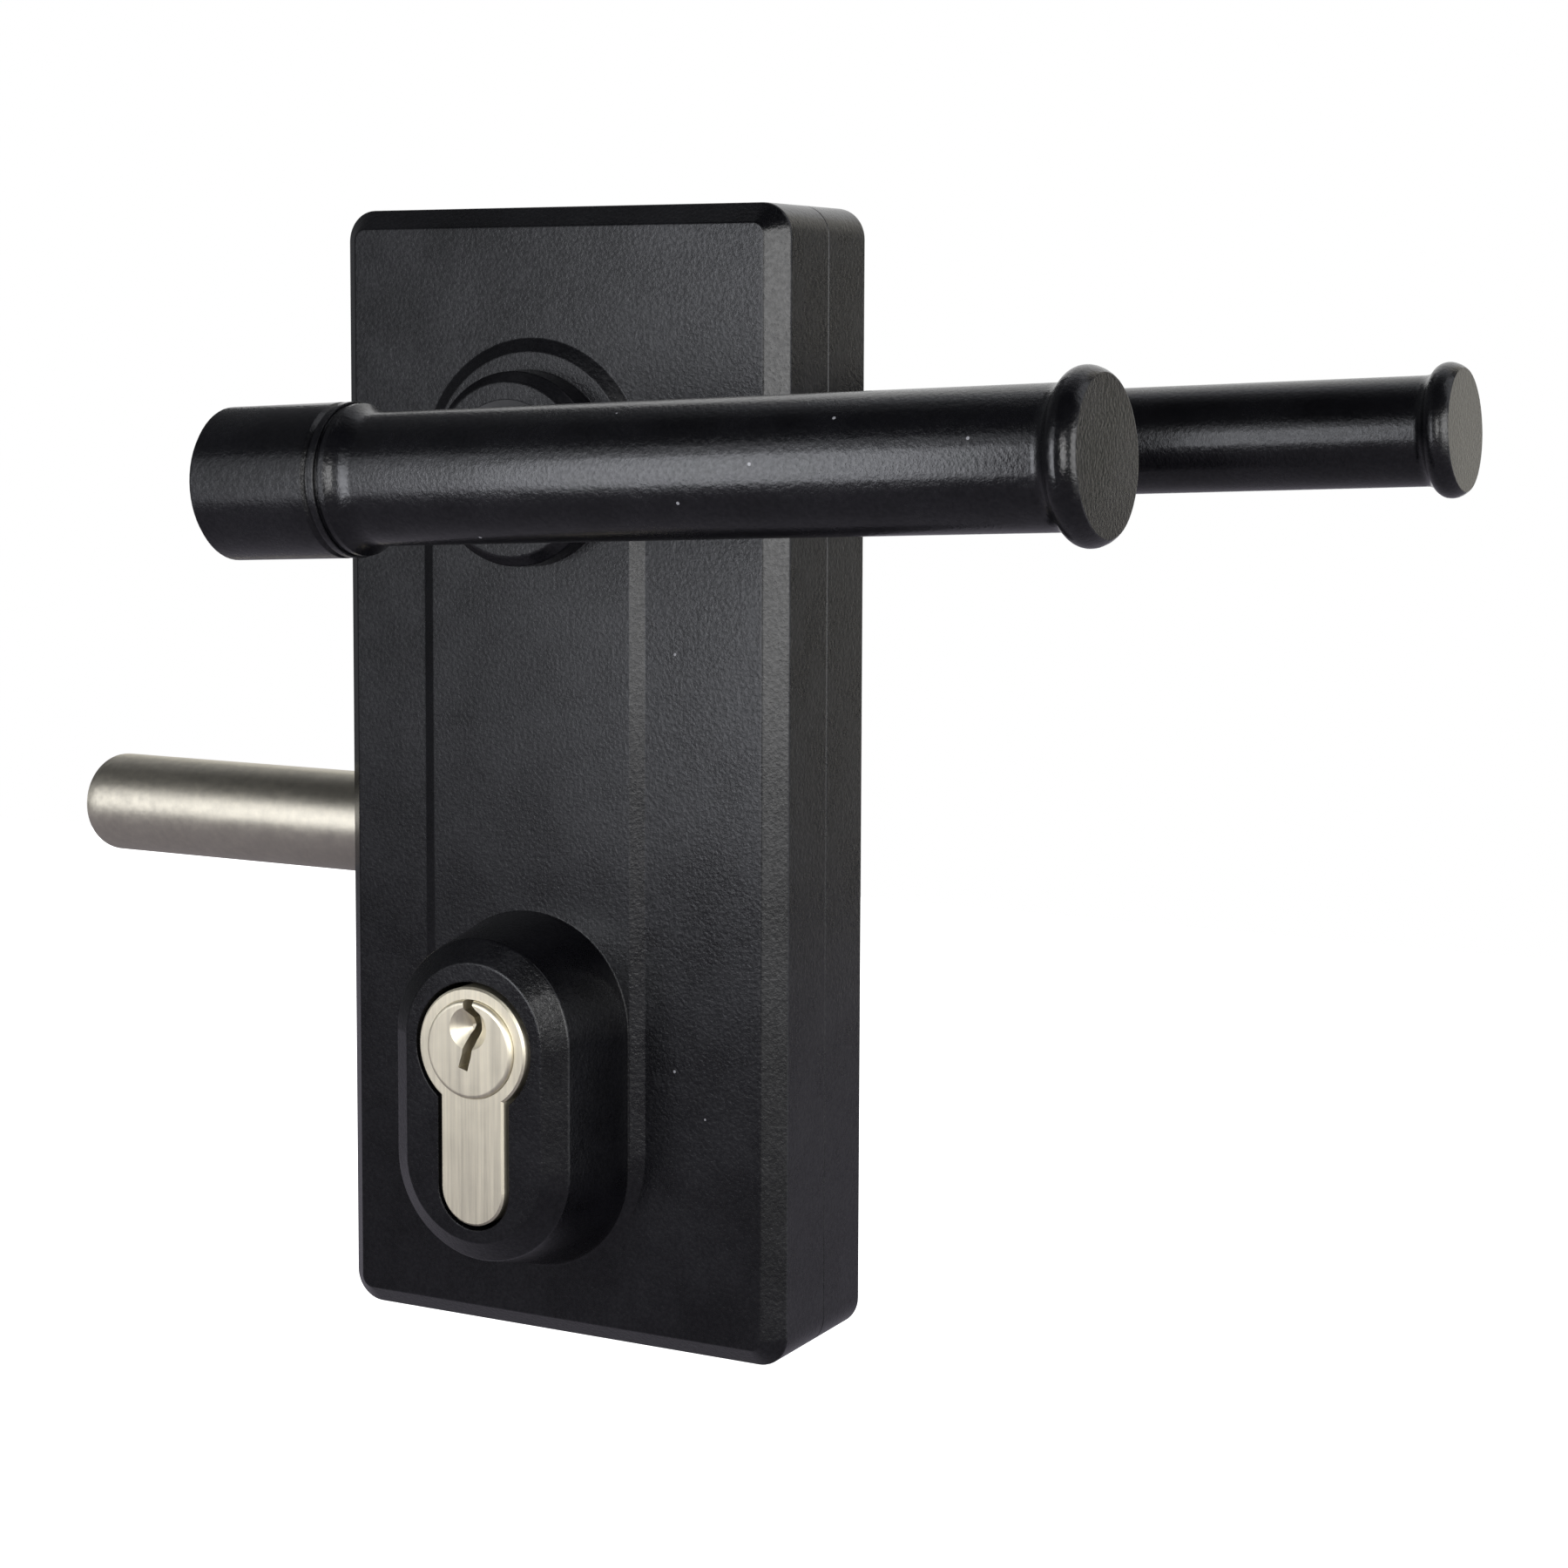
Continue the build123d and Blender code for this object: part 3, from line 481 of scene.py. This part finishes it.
def add_tent():
    """Dim cloths round the lock, open at the left of the back, and a bright one on the right
    for views from behind. They show in gloss alone, and keep no light off anything."""
    x0, x1 = TENT_X
    y0, y1 = TENT_Y
    z0, z1 = TENT_Z
    xb = TENT_BACK_X
    yf = TENT_TOP_FAR_Y
    ya, yb = TENT_RIGHT_Y
    cloths = {
        "left": ([(x0, y0, z0), (x0, y1, z0), (x0, y1, z1), (x0, y0, z1)], TENT_LEFT),
        "right_front": ([(x1, y0, z0), (x1, ya, z0), (x1, ya, z1), (x1, y0, z1)], TENT_DIM),
        "right": ([(x1, ya, z0), (x1, yb, z0), (x1, yb, z1), (x1, ya, z1)], TENT_RIGHT),
        "right_back": ([(x1, yb, z0), (x1, y1, z0), (x1, y1, z1), (x1, yb, z1)], TENT_DIM),
        "front": ([(x0, y0, z0), (x1, y0, z0), (x1, y0, z1), (x0, y0, z1)], TENT_DIM),
        "top_front": ([(x0, y0, z1), (x1, y0, z1), (x1, 0, z1), (x0, 0, z1)], TENT_DIM),
        "top_back": ([(x0, 0, z1), (x1, 0, z1), (x1, yf, z1), (x0, yf, z1)], TENT_TOP_BACK),
        "top_far": ([(x0, yf, z1), (x1, yf, z1), (x1, y1, z1), (x0, y1, z1)], TENT_TOP_FAR),
        "below": ([(x0, y0, z0), (x1, y0, z0), (x1, y1, z0), (x0, y1, z0)], TENT_BELOW),
        "back": ([(xb, y1, z0), (x1, y1, z0), (x1, y1, z1), (xb, y1, z1)], TENT_BACK),
    }
    for side, (corners, glow) in cloths.items():
        colour = {"back": WARM, "below": PURPLE}.get(side, COOL)
        cloth = add_plane("tent_" + side, corners, glowing_surface("tent_" + side, glow, colour))
        cloth.visible_camera = False
        cloth.visible_diffuse = False
        cloth.visible_shadow = False


def light_world():
    world = bpy.data.worlds.new("studio")
    bpy.context.scene.world = world
    world.use_nodes = True
    world.cycles.sampling_method = "NONE"
    s = Shader(world.node_tree)
    white = s.node("ShaderNodeBackground")
    white.inputs["Color"].default_value = (1, 1, 1, 1)
    output = s.node("ShaderNodeOutputWorld")
    s.link(white.outputs["Background"], output.inputs["Surface"])


def add_lights():
    """Near softboxes in front, which leave the levers' tops dark, and larger ones on the right
    and behind the camera."""
    fronts = [  # name, ends along X, ends along Z, glow
        ("front_softbox", (-0.058, 0.045), (-0.047, 0.122), 6.1),
        ("front_top_strip", (-0.058, 0.045), (0.122, 0.205), 1.3),
        ("front_left_strip", (-0.120, -0.070), (-0.055, 0.190), 1.5),
        ("front_left_cloth", (-0.250, -0.120), (-0.060, 0.200), 0.6),
    ]
    for name, x, z, glow in fronts:
        centre = ((x[0] + x[1]) / 2, FRONT_Y, (z[0] + z[1]) / 2)
        aim = (centre[0], 0.0, centre[2])
        add_softbox(name, centre, aim, (x[1] - x[0], z[1] - z[0]), glow, COOL)
    others = [  # name, centre, the point that it faces, size, glow
        ("right_softbox", (0.476, -0.203, 0.105), (0.070, -0.014, 0.105), (0.27, 0.31), 5.5),
        ("right_low_strip", (0.476, -0.203, -0.120), (0.070, -0.014, -0.120), (0.27, 0.14), 0.7),
        ("behind_camera", (0.293, -0.562, 0.110), (0.049, -0.014, 0.110), (0.15, 0.34), 7.5),
    ]
    for name, centre, aim, size, glow in others:
        add_softbox(name, centre, aim, size, glow)


bpy.context.scene.view_settings.view_transform = "Standard"
add_camera()
light_world()
add_stage()
add_tent()
add_lights()
dress_cad_nodes()
